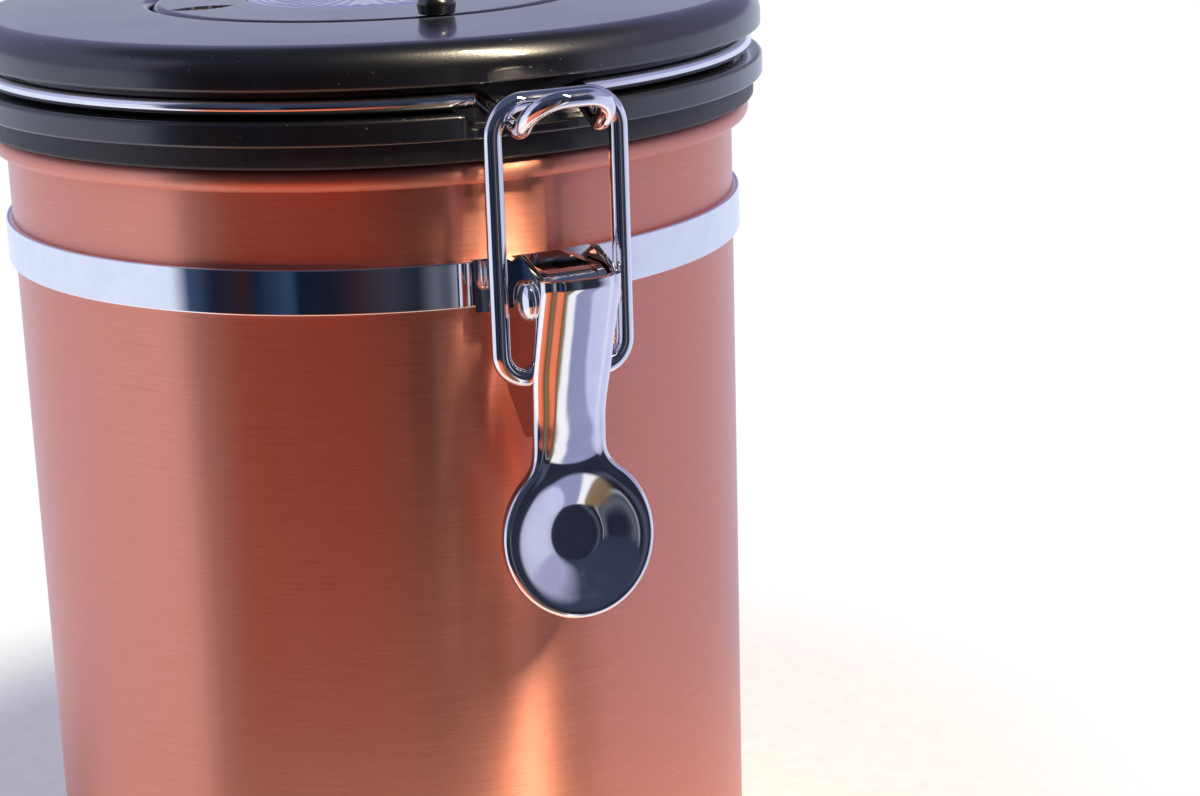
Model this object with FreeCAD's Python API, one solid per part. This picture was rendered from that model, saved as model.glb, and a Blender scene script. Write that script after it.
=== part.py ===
"""Storage canister with a wire clamp lid: a round metal can, a black moulded lid with a
wire ring and a date dial, a banded over-centre latch in front and a wire hinge behind.

Frame: origin at the centre of the standing plane, +Z up, latch towards -Y, hinge towards +Y.
Millimetres. A place near the latch or the hinge is given as (s, rho, z): s across, rho out
from the can's axis, z up.
"""
import FreeCAD
import Part
import math
import os
from FreeCAD import Vector

# ---- can -------------------------------------------------------------------------------
BODY_R = 60.0            # outside of the can
WALL = 0.6
FOOT_CORNER_R = 3.0
FOOT_INNER_R = 54.0      # the foot ring turned in under the can
RIM_TOP_Z = 130.9
CURL_R = 1.7             # outside of the rolled rim
CURL_END_DEG = -100.0    # where the roll stops, measured about its own centre
BASE_DISC_R = 56.8
BASE_DISC_T = 0.8
BASE_RAISE = 1.4         # the middle of the base stands this much above its edge
BASE_FLAT_R = 50.0

# ---- clamp band ------------------------------------------------------------------------
BAND_TOP_Z = 116.0
BAND_H = 7.0
BAND_R = 61.1
BAND_INNER_R = 60.05
BAND_GAP = 4.0           # its ends stop short of each other under the hinge bracket
BRACKET_R = 62.0
BRACKET_FIT = 0.02       # between the band and the plates on it
BRACKET_HALF_W = 9.5
BRACKET_Z = (108.4, 116.4)

# ---- latch -----------------------------------------------------------------------------
PIVOT = (72.8, 112.2)    # (rho, z) of the lever's pivot
LOOP_PIN = (71.0, 100.3)  # (rho, z) of the loop's ends in the lever
EAR_HALF_GAP = 3.9
EAR_T = 1.2
EAR_R = 4.2
RIVET_R = 1.75
RIVET_HEAD_R = 3.1
RIVET_HEAD_H = 1.7
BARREL_R = 3.9           # sleeve on the rivet between the ears
RUN_FIT = 0.05           # radial clearance of a turning fit
LEVER_HALF_W = 6.35
LEVER_T = 1.0
LEVER_NECK_HALF_W = 5.9
DISC_CENTRE = (75.2, 75.8)  # (rho, z)
DISC_TILT = 10.0         # its lower end stands out, degrees
DISC_R = 12.2
DISH_DEPTH = 2.0
DISH_FLAT_R = 4.0
DISH_OUTER_R = 9.9
LIP_DEPTH = 1.8          # the disc's edge is turned back this far
LOOP_WIRE_R = 1.4
LOOP_HALF_W = 10.0       # centre of each leg
LOOP_TOP_Z = 140.6
LOOP_RHO = 70.8
LOOP_TOP_CORNER_R = 5.0
LOOP_J_R = 4.0
LOOP_END_S = 4.4

# ---- hinge -----------------------------------------------------------------------------
HINGE = (69.0, 123.0)    # (rho, z) of the lid's axis
HINGE_EAR_HALF_GAP = 4.6
HINGE_EAR_R = 3.4

# ---- lid -------------------------------------------------------------------------------
GASKET_Z = (131.1, 134.6)
GASKET_R = (57.5, 63.7)
SPIGOT_R = 57.4
SPIGOT_T = 1.8
SPIGOT_Z = 127.6
PLATE_Z = (133.0, 135.2)
FLANGE_R = 65.2
FLANGE_TOP_Z = 138.3
GROOVE_R = 60.6
UPSTAND_T = 2.2
COVER_R = 65.0
COVER_EDGE_Z = 142.5
COVER_TOP_Z = 148.8
COVER_T = 2.3
COVER_CORNER_R = 3.0
POCKET_R = 35.3
POCKET_Z = 146.2
NOTCH_HALF_W = 10.6
NOTCH_Z = 136.2
SCREW_R = 1.25
SCREW_CIRCLE_R = 46.0
SCREW_COUNT = 4
SCREW_HEAD_R = 2.9
SCREW_TIP_Z = 143.0
BOSS_R = 3.6
VALVE_HOLE_R = 9.0

# ---- wire ring of the lid --------------------------------------------------------------
RING_R = 62.2
RING_Z = 140.1
RING_WIRE_R = 1.3
RING_LEG_S = 9.5         # the two legs behind, centre
RING_END_S = 3.7         # where they stop inside the hinge bracket
CATCH_LEAVE_S = 7.9      # where the ring turns out towards the catch
CATCH_FOOT = (6.3, 72.5, 136.4)   # (s, rho, z), under the loop's bar
CATCH_TIP = (6.3, 77.7, 141.4)
CATCH_BEND_R = (1.6, 2.2, 4.9)

# ---- date dial -------------------------------------------------------------------------
DIAL_R = 34.9
DIAL_Z = 146.4
HUB_R = 6.0
HUB_Z = 142.4
BADGE_R = 19.4
BADGE_T = 0.9
BADGE_RECESS = 0.8
KNOB_R = 3.1
KNOB_H = 3.5
KNOB_AT = (34.4, -3.4)   # radius, and degrees round from the latch
DIMPLE_AT = (28.4, -89.0)
DIMPLE_SIZE = (5.6, 2.1, 1.0)  # half length out from the middle, half width, depth
SLIDE_GAP = 0.3

# ---- valve -----------------------------------------------------------------------------
VALVE_SKIRT_R = (9.5, 11.0)
VALVE_SKIRT_Z = 128.0
VALVE_TOP_Z = 139.0
VALVE_FLOOR_Z = (131.9, 132.9)
VENT_CIRCLE_R = 5.0
VENT_R = 1.0
VENT_COUNT = 6
FLAP_R = 7.0
FLAP_T = 0.8
STEM_R = 1.2

AXIS = Vector(0, 0, 1)
ORIGIN = Vector(0, 0, 0)


def front(s, rho, z):
    return Vector(s, -rho, z)


def rear(s, rho, z):
    return Vector(s, rho, z)


def corner_arc(before, corner, after, radius):
    """The arc that rounds a corner, as (start, middle, end) on its two sides."""
    to_before = (before - corner).normalize()
    to_after = (after - corner).normalize()
    half = to_before.getAngle(to_after) / 2.0
    reach = radius / math.tan(half)
    inward = (to_before + to_after).normalize()
    centre_gap = radius / math.sin(half)
    middle = corner + inward * (centre_gap - radius)
    return corner + to_before * reach, middle, corner + to_after * reach


def rounded_path(points, radii):
    """Straight runs through the points, each inner corner rounded to its own radius."""
    edges = []
    here = points[0]
    for i in range(1, len(points) - 1):
        start, middle, end = corner_arc(points[i - 1], points[i], points[i + 1], radii[i - 1])
        if (start - here).Length > 1e-4:
            edges.append(Part.LineSegment(here, start).toShape())
        edges.append(Part.Arc(start, middle, end).toShape())
        here = end
    edges.append(Part.LineSegment(here, points[-1]).toShape())
    return edges


def rod(edges, radius):
    """A round wire of the given radius along joined edges."""
    path = Part.Wire(edges)
    first = edges[0]
    start = first.valueAt(first.FirstParameter)
    heading = first.tangentAt(first.FirstParameter)
    section = Part.Wire([Part.makeCircle(radius, start, heading)])
    return path.makePipeShell([section], True, False)


def outline(points):
    """A closed wire through (a, b) or (a, b, corner radius) points, drawn in the XZ plane."""
    places = [Vector(p[0], 0, p[1]) for p in points]
    radii = [p[2] if len(p) > 2 else 0.0 for p in points]
    edges = []
    count = len(points)
    ends = []
    for i in range(count):
        if radii[i] > 0:
            arc = corner_arc(places[i - 1], places[i], places[(i + 1) % count], radii[i])
            edges.append(Part.Arc(*arc).toShape())
            ends.append((arc[0], arc[2]))
        else:
            ends.append((places[i], places[i]))
    for i in range(count):
        start, end = ends[i][1], ends[(i + 1) % count][0]
        if (end - start).Length > 1e-5:
            edges.append(Part.LineSegment(start, end).toShape())
    return Part.Wire(Part.__sortEdges__(edges))


def turned(points):
    """A ring or disc: the outline of (radius, z) points turned about the can's axis."""
    return Part.Face(outline(points)).revolve(ORIGIN, AXIS, 360)


def plate(points, s_low, s_high, behind=False):
    """A flat plate whose side view is (rho, z) points, from s_low to s_high across."""
    face = Part.Face(outline(points))
    face.rotate(ORIGIN, AXIS, 90 if behind else -90)
    face.translate(Vector(s_low, 0, 0))
    return face.extrude(Vector(s_high - s_low, 0, 0))


def cross_pin(radius, rho, z, s_low, s_high, behind=False):
    place = rear(s_low, rho, z) if behind else front(s_low, rho, z)
    return Part.makeCylinder(radius, s_high - s_low, place, Vector(1, 0, 0))


def mirrored(shape):
    return shape.mirror(ORIGIN, Vector(1, 0, 0))


def at_polar(radius, degrees):
    """A place on the lid, degrees counted round from the latch towards +X."""
    angle = math.radians(degrees)
    return Vector(radius * math.sin(angle), -radius * math.cos(angle), 0)


def ring_sector(inner, outer, z_low, z_high, half_width, behind=False):
    """A curved plate that follows the can, cut off at half_width each side of the middle."""
    ring = turned([(inner, z_low), (outer, z_low), (outer, z_high), (inner, z_high)])
    corner = Vector(-half_width, 0 if behind else -2 * outer, z_low - 1)
    return ring.common(Part.makeBox(2 * half_width, 2 * outer, z_high - z_low + 2, corner))


# ---- can -------------------------------------------------------------------------------
def body_shell():
    """Drawn wall with a foot turned in below and a rim rolled outwards above."""
    inner_r = BODY_R - WALL
    curl_in = CURL_R - WALL
    centre = Vector(BODY_R + curl_in, 0, RIM_TOP_Z - CURL_R)
    foot_in = FOOT_CORNER_R - WALL

    def on_curl(radius, degrees):
        angle = math.radians(degrees)
        return centre + Vector(radius * math.cos(angle), 0, radius * math.sin(angle))

    def foot_arc(radius):
        middle_x = BODY_R - FOOT_CORNER_R + radius * math.sin(math.pi / 4)
        middle_z = FOOT_CORNER_R - radius * math.cos(math.pi / 4)
        low = Vector(BODY_R - FOOT_CORNER_R, 0, FOOT_CORNER_R - radius)
        high = Vector(BODY_R - FOOT_CORNER_R + radius, 0, FOOT_CORNER_R)
        return low, Vector(middle_x, 0, middle_z), high

    out_low, out_mid, out_high = foot_arc(FOOT_CORNER_R)
    in_low, in_mid, in_high = foot_arc(foot_in)
    inside_start = on_curl(curl_in, 180)
    inside_end = on_curl(curl_in, CURL_END_DEG)
    outside_start = on_curl(CURL_R, 180)
    outside_end = on_curl(CURL_R, CURL_END_DEG)
    edges = [
        Part.LineSegment(Vector(FOOT_INNER_R, 0, 0), out_low),
        Part.Arc(out_low, out_mid, out_high),
        Part.LineSegment(out_high, inside_start),
        Part.Arc(inside_start, on_curl(curl_in, 40), inside_end),
        Part.LineSegment(inside_end, outside_end),
        Part.Arc(outside_end, on_curl(CURL_R, 40), outside_start),
        Part.LineSegment(outside_start, in_high),
        Part.Arc(in_high, in_mid, in_low),
        Part.LineSegment(in_low, Vector(FOOT_INNER_R, 0, WALL)),
        Part.LineSegment(Vector(FOOT_INNER_R, 0, WALL), Vector(FOOT_INNER_R, 0, 0)),
    ]
    wire = Part.Wire([e.toShape() for e in edges])
    return Part.Face(wire).revolve(ORIGIN, AXIS, 360)


def base_disc():
    """Pressed base: its edge lies on the foot ring inside and its middle is raised."""
    low = WALL
    high = WALL + BASE_RAISE
    step_r = BASE_FLAT_R + 2.0
    return turned([(0, high), (BASE_FLAT_R, high, 1.5), (step_r, low, 1.0), (BASE_DISC_R, low),
                   (BASE_DISC_R, low + BASE_DISC_T), (step_r, low + BASE_DISC_T, 1.8),
                   (BASE_FLAT_R, high + BASE_DISC_T, 0.7), (0, high + BASE_DISC_T)])


# ---- clamp band and its brackets -------------------------------------------------------
def clamp_band():
    low = BAND_TOP_Z - BAND_H
    band = turned([(BAND_INNER_R, low), (BAND_R, low, 0.3), (BAND_R, BAND_TOP_Z, 0.3),
                   (BAND_INNER_R, BAND_TOP_Z)])
    corner = Vector(-BAND_GAP / 2, 0, low - 1)
    return band.cut(Part.makeBox(BAND_GAP, BAND_R + 1, BAND_H + 2, corner))


def latch_bracket():
    """Curved plate on the band with two ears that carry the lever."""
    low, high = BRACKET_Z
    shape = ring_sector(BAND_R + BRACKET_FIT, BRACKET_R, low, high, BRACKET_HALF_W)
    rho, z = PIVOT
    side = [(BAND_R + 0.3, z - EAR_R), (rho, z - EAR_R), (rho, z + EAR_R), (BAND_R + 0.3, z + EAR_R)]
    outer_s = EAR_HALF_GAP + EAR_T
    ear = plate(side, EAR_HALF_GAP, outer_s)
    ear = ear.fuse(cross_pin(EAR_R, rho, z, EAR_HALF_GAP, outer_s))
    shape = shape.multiFuse([ear, mirrored(ear)])
    hole = cross_pin(RIVET_R + 0.01, rho, z, -outer_s - 1, outer_s + 1)
    return shape.cut(hole).removeSplitter()


def pivot_rivet():
    """One rivet through both ears and both sides of the lever, with a sleeve between."""
    rho, z = PIVOT
    head_s = LEVER_HALF_W + RUN_FIT
    shape = cross_pin(RIVET_R, rho, z, -head_s, head_s)
    shape = shape.fuse(cross_pin(BARREL_R, rho, z, -EAR_HALF_GAP, EAR_HALF_GAP))
    ball_r = (RIVET_HEAD_R ** 2 + RIVET_HEAD_H ** 2) / (2 * RIVET_HEAD_H)
    for side in (-1, 1):
        centre = front(side * (head_s + RIVET_HEAD_H - ball_r), rho, z)
        ball = Part.makeSphere(ball_r, centre)
        start = front(side * head_s, rho, z)
        keep = Part.makeCylinder(RIVET_HEAD_R, RIVET_HEAD_H, start, Vector(side, 0, 0))
        shape = shape.fuse(ball.common(keep))
    return shape.removeSplitter()


def hinge_bracket():
    """Curved plate over the band's ends with two ears that rise to the lid's axis."""
    low, high = BRACKET_Z
    shape = ring_sector(BAND_R + BRACKET_FIT, BRACKET_R, low, high, BRACKET_HALF_W, True)
    rho, z = HINGE
    foot = BAND_R + 0.3
    side = [(foot, low), (foot + 3.2, low, 1.5), (rho + HINGE_EAR_R, z - 0.4),
            (rho - HINGE_EAR_R, z + 0.4), (foot, high)]
    outer_s = HINGE_EAR_HALF_GAP + EAR_T
    ear = plate(side, HINGE_EAR_HALF_GAP, outer_s, True)
    ear = ear.fuse(cross_pin(HINGE_EAR_R, rho, z, HINGE_EAR_HALF_GAP, outer_s, True))
    shape = shape.multiFuse([ear, mirrored(ear)])
    hole = cross_pin(RING_WIRE_R + RUN_FIT, rho, z, -outer_s - 1, outer_s + 1, True)
    return shape.cut(hole).removeSplitter()


# ---- latch -----------------------------------------------------------------------------
LEVER_FACE = ((80.0, 115.7), (75.3, 100.0), (73.0, 93.0), (73.1, 87.5))  # outside, (rho, z)
LEVER_BACK = ((70.4, 118.6), (65.0, 115.4), (64.4, 112.0), (64.3, 96.6), (68.9, 90.6))


def lever_front():
    """The face of the lever: a bent strip cut to its front view."""
    outside = [LEVER_FACE[0], LEVER_FACE[1], LEVER_FACE[2] + (8.0,), LEVER_FACE[3]]
    inside = [(p[0] - LEVER_T,) + tuple(p[1:]) for p in reversed(outside)]
    return plate(outside + inside, -LEVER_HALF_W, LEVER_HALF_W)


def lever_side():
    """One side of the lever, seen from the side, from the face back towards the can."""
    inner = LEVER_T / 2
    side = [(p[0] - inner, p[1]) for p in LEVER_FACE]
    side += [(LEVER_BACK[4][0], LEVER_BACK[4][1])]
    side += [LEVER_BACK[3] + (2.0,), LEVER_BACK[2], LEVER_BACK[1] + (1.5,), LEVER_BACK[0] + (0.8,)]
    return plate(side, LEVER_HALF_W - LEVER_T, LEVER_HALF_W)


def thumb_disc():
    """Round thumb piece: flat border, dished middle with a flat floor, edge turned back."""
    top = [(0, -DISH_DEPTH), (DISH_FLAT_R, -DISH_DEPTH, 1.6), (DISH_OUTER_R - 1.6, 0, 1.6),
           (DISC_R, 0, 0.9), (DISC_R, -LIP_DEPTH)]
    under = [(DISC_R - LEVER_T, -LIP_DEPTH), (DISC_R - LEVER_T, -LEVER_T),
             (DISH_OUTER_R - 1.2, -LEVER_T, 1.0), (DISH_FLAT_R + 0.4, -DISH_DEPTH - LEVER_T, 1.0),
             (0, -DISH_DEPTH - LEVER_T)]
    disc = turned(top + under)
    disc.rotate(ORIGIN, Vector(1, 0, 0), 90 - DISC_TILT)
    disc.translate(front(0, DISC_CENTRE[0], DISC_CENTRE[1]))
    return disc


def lever_neck():
    """The waist between the channel and the thumb piece, down to the dish's edge."""
    tilt = math.radians(DISC_TILT)

    def on_disc(radius):
        return (DISC_CENTRE[0] - radius * math.sin(tilt), DISC_CENTRE[1] + radius * math.cos(tilt))

    outside = [(LEVER_FACE[2][0], LEVER_FACE[2][1] - 1), on_disc(DISC_R), on_disc(DISH_OUTER_R)]
    inside = [(rho - LEVER_T, z) for rho, z in reversed(outside)]
    return plate(outside + inside, -LEVER_NECK_HALF_W, LEVER_NECK_HALF_W)


def latch_lever():
    """Pressed channel with a thumb piece, drilled for the rivet and for the loop's ends."""
    side = lever_side()
    shape = lever_front().multiFuse([side, mirrored(side), thumb_disc(), lever_neck()])
    reach = LEVER_HALF_W + 1
    holes = [cross_pin(RIVET_R + RUN_FIT, PIVOT[0], PIVOT[1], -reach, reach),
             cross_pin(LOOP_WIRE_R + RUN_FIT, LOOP_PIN[0], LOOP_PIN[1], -reach, reach)]
    return shape.cut(holes[0].fuse(holes[1])).removeSplitter()


def latch_loop():
    """Bent wire: a bar above, two legs, and two ends turned in as the loop's pivots."""
    pin_rho, pin_z = LOOP_PIN
    half = [front(LOOP_END_S, pin_rho, pin_z), front(LOOP_HALF_W, pin_rho, pin_z),
            front(LOOP_HALF_W, LOOP_RHO, LOOP_TOP_Z)]
    other = [Vector(-p.x, p.y, p.z) for p in reversed(half)]
    radii = [LOOP_J_R, LOOP_TOP_CORNER_R, LOOP_TOP_CORNER_R, LOOP_J_R]
    return rod(rounded_path(half + other, radii), LOOP_WIRE_R)


# ---- lid -------------------------------------------------------------------------------
def lid_ring():
    """One wire: two legs in the hinge behind, half a turn each side, and the catch in front."""
    rho, z = HINGE
    leg_angle = math.asin((RING_LEG_S + 1.6) / RING_R)
    catch_angle = math.asin((CATCH_LEAVE_S + 1.6) / RING_R)

    def on_ring(angle):
        return Vector(RING_R * math.sin(angle), RING_R * math.cos(angle), RING_Z)

    leave = on_ring(leg_angle)
    meet = on_ring(math.pi - catch_angle)
    tangent = Vector(-leave.y, leave.x, 0).normalize()
    turn_s = RING_LEG_S
    step = (leave.x - turn_s) / -tangent.x
    turn = leave + tangent * step
    behind = [rear(RING_END_S, rho, z), rear(RING_LEG_S, rho, z), rear(RING_LEG_S, rho, RING_Z),
              turn, leave]
    side = rounded_path(behind, [2.2, 3.0, 1.8])
    side.append(Part.Arc(leave, on_ring(math.pi / 2), meet).toShape())
    heading = Vector(-meet.y, meet.x, 0).normalize() * -1
    first = meet + heading * ((meet.x - CATCH_LEAVE_S) / -heading.x)
    hook = [meet, first, front(*CATCH_FOOT), front(*CATCH_TIP), front(0, *CATCH_TIP[1:])]
    side += rounded_path(hook, CATCH_BEND_R)
    half = rod(side, RING_WIRE_R)
    return half.fuse(mirrored(half)).removeSplitter()


def lid_base():
    """Lower moulding: spigot in the can, plate, clamping flange and the ring's groove."""
    low, high = PLATE_Z
    shape = turned([(VALVE_HOLE_R, low), (SPIGOT_R - SPIGOT_T, low),
                    (SPIGOT_R - SPIGOT_T, SPIGOT_Z), (SPIGOT_R, SPIGOT_Z, 0.6), (SPIGOT_R, GASKET_Z[1]),
                    (FLANGE_R, GASKET_Z[1], 0.4),
                    (FLANGE_R, FLANGE_TOP_Z, 0.6), (GROOVE_R, FLANGE_TOP_Z),
                    (GROOVE_R, COVER_EDGE_Z + 3.4), (GROOVE_R - UPSTAND_T, COVER_EDGE_Z + 3.4),
                    (GROOVE_R - UPSTAND_T, high), (VALVE_HOLE_R, high)])
    notch = Part.makeBox(2 * NOTCH_HALF_W, FLANGE_R + 1 - GROOVE_R + 3, 5,
                         front(-NOTCH_HALF_W, FLANGE_R + 1, NOTCH_Z))
    keep = Part.makeCylinder(GROOVE_R, 10, Vector(0, 0, NOTCH_Z - 1))
    shape = shape.cut(notch.cut(keep))
    for i in range(SCREW_COUNT):
        place = at_polar(SCREW_CIRCLE_R, 360 / SCREW_COUNT * (i + 0.5)) + Vector(0, 0, low - 1)
        shape = shape.cut(Part.makeCylinder(SCREW_R + 0.4, high - low + 2, place))
    return shape


def lid_cover():
    """Upper moulding: crown, edge, pocket for the dial and four screw bosses."""
    floor = POCKET_Z - COVER_T
    under = COVER_TOP_Z - COVER_T
    shape = turned([(HUB_R + SLIDE_GAP, floor), (POCKET_R + COVER_T, floor),
                    (POCKET_R + COVER_T, under), (GROOVE_R + 0.05, under, 0.8),
                    (GROOVE_R + 0.05, COVER_EDGE_Z), (COVER_R, COVER_EDGE_Z, 0.5),
                    (COVER_R, COVER_TOP_Z, COVER_CORNER_R), (POCKET_R, COVER_TOP_Z, 0.3),
                    (POCKET_R, POCKET_Z), (HUB_R + SLIDE_GAP, POCKET_Z)])
    for i in range(SCREW_COUNT):
        spot = at_polar(SCREW_CIRCLE_R, 360 / SCREW_COUNT * (i + 0.5))
        boss = Part.makeCylinder(BOSS_R, under + 0.5 - PLATE_Z[1], spot + Vector(0, 0, PLATE_Z[1]))
        shape = shape.fuse(boss)
        hole_depth = SCREW_TIP_Z + 0.6 - PLATE_Z[1]
        hole = Part.makeCylinder(SCREW_R + 0.02, hole_depth + 1, spot + Vector(0, 0, PLATE_Z[1] - 1))
        shape = shape.cut(hole)
    return shape.removeSplitter()


def lid_gasket():
    low, high = GASKET_Z
    inner, outer = GASKET_R
    return turned([(inner, low), (outer, low, 0.5), (outer, high), (inner, high)])


def lid_screws():
    """Four cross-head screws from below, as one group of separate solids."""
    solids = []
    low = PLATE_Z[0]
    for i in range(SCREW_COUNT):
        spot = at_polar(SCREW_CIRCLE_R, 360 / SCREW_COUNT * (i + 0.5))
        head = Part.makeCylinder(SCREW_HEAD_R, 1.5, spot + Vector(0, 0, low - 1.5))
        shank = Part.makeCylinder(SCREW_R, SCREW_TIP_Z - low - 2, spot + Vector(0, 0, low))
        tip = Part.makeCone(SCREW_R, 0.2, 2, spot + Vector(0, 0, SCREW_TIP_Z - 2))
        slots = []
        for size in ((3.2, 0.7), (0.7, 3.2)):
            corner = spot + Vector(-size[0] / 2, -size[1] / 2, low - 1.6)
            slots.append(Part.makeBox(size[0], size[1], 0.9, corner))
        screw = head.multiFuse([shank, tip]).cut(slots[0].fuse(slots[1])).removeSplitter()
        solids += screw.Solids
    return Part.makeCompound(solids)


# ---- date dial -------------------------------------------------------------------------
def date_dial():
    """Turning disc with a hub, a finger knob over its edge and a shallow finger dimple."""
    top = COVER_TOP_Z
    shape = turned([(0, HUB_Z), (HUB_R, HUB_Z, 0.5), (HUB_R, DIAL_Z), (DIAL_R, DIAL_Z),
                    (DIAL_R, top, 0.4), (BADGE_R + 0.2, top), (BADGE_R + 0.2, top - BADGE_RECESS),
                    (0, top - BADGE_RECESS)])
    spot = at_polar(*KNOB_AT)
    knob = Part.Face(outline([(0, top + SLIDE_GAP), (KNOB_R - 0.4, top + SLIDE_GAP),
                              (KNOB_R, top + SLIDE_GAP + 0.4), (KNOB_R, top + KNOB_H, 2.4),
                              (0, top + KNOB_H)])).revolve(ORIGIN, AXIS, 360)
    knob.translate(spot)
    foot = Part.makeCylinder(KNOB_R - 0.5, SLIDE_GAP + 0.7, spot + Vector(0, 0, top - 0.5))
    foot = foot.common(Part.makeCylinder(DIAL_R - 0.4, top + 5))
    shape = shape.multiFuse([knob, foot])
    radius, angle = DIMPLE_AT
    length, width, depth = DIMPLE_SIZE
    ball = Part.makeSphere(1.0)
    stretch = FreeCAD.Matrix()
    stretch.scale(length, width, depth)
    dimple = ball.transformGeometry(stretch)
    dimple.rotate(ORIGIN, AXIS, angle - 90)
    dimple.translate(at_polar(radius, angle) + Vector(0, 0, top + 0.1))
    return shape.cut(dimple).removeSplitter()


def dial_badge():
    """Thin embossed disc let into the middle of the dial."""
    low = COVER_TOP_Z - BADGE_RECESS
    return turned([(0, low), (BADGE_R, low), (BADGE_R, low + BADGE_T, 0.3), (0, low + BADGE_T)])


def dial_retainer():
    """Push-on ring that holds the dial's hub from below."""
    top = POCKET_Z - COVER_T - SLIDE_GAP
    return turned([(HUB_R, top - 0.8), (HUB_R + 4.0, top - 0.8), (HUB_R + 4.0, top),
                   (HUB_R, top)])


# ---- one-way valve ---------------------------------------------------------------------
def valve_body():
    """Cup snapped through the lid's plate, with vents round the flap's stem."""
    low, high = VALVE_FLOOR_Z
    skirt_in, skirt_out = VALVE_SKIRT_R
    barrel = VALVE_HOLE_R - 0.05
    shape = turned([(STEM_R + 0.1, low), (skirt_in, low), (skirt_in, VALVE_SKIRT_Z),
                    (skirt_out, VALVE_SKIRT_Z, 0.5), (skirt_out, high), (barrel, high),
                    (barrel, VALVE_TOP_Z), (barrel - 1.2, VALVE_TOP_Z), (barrel - 1.2, high),
                    (STEM_R + 0.1, high)])
    for i in range(VENT_COUNT):
        spot = at_polar(VENT_CIRCLE_R, 360 / VENT_COUNT * i) + Vector(0, 0, low - 1)
        shape = shape.cut(Part.makeCylinder(VENT_R, high - low + 2, spot))
    return shape


def valve_flap():
    """Soft disc over the vents, held by a bulb on its stem."""
    seat = VALVE_FLOOR_Z[1] + RUN_FIT
    bulb_top = VALVE_FLOOR_Z[0] - 1.0
    return turned([(0, bulb_top - 1.2), (1.8, bulb_top - 1.2, 0.5), (1.8, bulb_top, 0.4),
                   (STEM_R, bulb_top), (STEM_R, seat), (FLAP_R, seat),
                   (FLAP_R, seat + FLAP_T, 0.3), (0, seat + FLAP_T)])


def valve_cap():
    """Slotted lid of the valve, above the flap."""
    radius = VALVE_HOLE_R - 0.05
    shape = turned([(0, VALVE_TOP_Z), (radius, VALVE_TOP_Z), (radius, VALVE_TOP_Z + 1.0, 0.3),
                    (0, VALVE_TOP_Z + 1.0)])
    for i in range(4):
        slot = Part.makeBox(4.0, 1.2, 3, Vector(2.2, -0.6, VALVE_TOP_Z - 1))
        slot.rotate(ORIGIN, AXIS, 90 * i)
        shape = shape.cut(slot)
    return shape


def valve_filter():
    return Part.makeCylinder(VALVE_SKIRT_R[0] - 0.1, 0.5, Vector(0, 0, VALVE_SKIRT_Z + 0.8))


def valve_grille():
    """Perforated disc that holds the filter in the valve's skirt."""
    shape = Part.makeCylinder(VALVE_SKIRT_R[0] - 0.05, 0.8, Vector(0, 0, VALVE_SKIRT_Z))
    holes = [Part.makeCylinder(0.8, 3, Vector(0, 0, VALVE_SKIRT_Z - 1))]
    for circle, count in ((3.0, 6), (6.0, 12)):
        for i in range(count):
            spot = at_polar(circle, 360 / count * i) + Vector(0, 0, VALVE_SKIRT_Z - 1)
            holes.append(Part.makeCylinder(0.8, 3, spot))
    return shape.cut(Part.makeCompound(holes))


PIECES = (body_shell, base_disc, clamp_band, latch_bracket, pivot_rivet, hinge_bracket,
          latch_lever, latch_loop, lid_ring, lid_base, lid_cover, lid_gasket, lid_screws,
          date_dial, dial_badge, dial_retainer, valve_body, valve_flap, valve_cap,
          valve_filter, valve_grille)

os.makedirs("parts", exist_ok=True)
for make in PIECES:
    piece = make()
    box = piece.BoundBox
    print(f"{make.__name__}: valid {piece.isValid()}, solids {len(piece.Solids)}, "
          f"volume {piece.Volume:.1f}, z {box.ZMin:.1f} to {box.ZMax:.1f}")
    piece.exportStep(f"parts/{make.__name__}.step")
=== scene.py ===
import math
import bpy
import numpy as np
from mathutils import Matrix, Vector


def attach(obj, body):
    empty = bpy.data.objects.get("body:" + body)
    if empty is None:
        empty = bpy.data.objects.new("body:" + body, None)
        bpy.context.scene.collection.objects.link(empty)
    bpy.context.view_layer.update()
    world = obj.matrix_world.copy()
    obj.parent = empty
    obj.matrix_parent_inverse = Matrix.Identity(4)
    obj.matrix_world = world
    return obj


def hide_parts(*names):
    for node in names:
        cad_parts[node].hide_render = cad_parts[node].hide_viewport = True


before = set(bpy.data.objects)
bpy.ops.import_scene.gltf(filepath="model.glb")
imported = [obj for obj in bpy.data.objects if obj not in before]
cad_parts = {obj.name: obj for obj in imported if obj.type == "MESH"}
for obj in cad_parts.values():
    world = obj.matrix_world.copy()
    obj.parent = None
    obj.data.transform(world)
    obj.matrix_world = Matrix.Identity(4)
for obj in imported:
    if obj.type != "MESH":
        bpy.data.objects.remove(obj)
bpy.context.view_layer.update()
MM = 0.001

# The camera stands in front of the canister, a little to the left of the latch and above the
# lid, and looks down at it. Sizes below are in millimetres from the centre of the base.
LATCH_TURN = 26.4
CAMERA_PITCH = 15.7
CAMERA_ROLL = -1.75
CAMERA_DISTANCE = 442.0
CAMERA_TARGET = (36.65, 0.0, 78.2)
FOCAL_SHARE = 2560 / 1200


def turn_about_can(point, degrees):
    """A point turned about the can's axis, anticlockwise seen from above."""
    angle = math.radians(degrees)
    return Vector((point[0] * math.cos(angle) - point[1] * math.sin(angle),
                   point[0] * math.sin(angle) + point[1] * math.cos(angle), point[2]))


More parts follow.
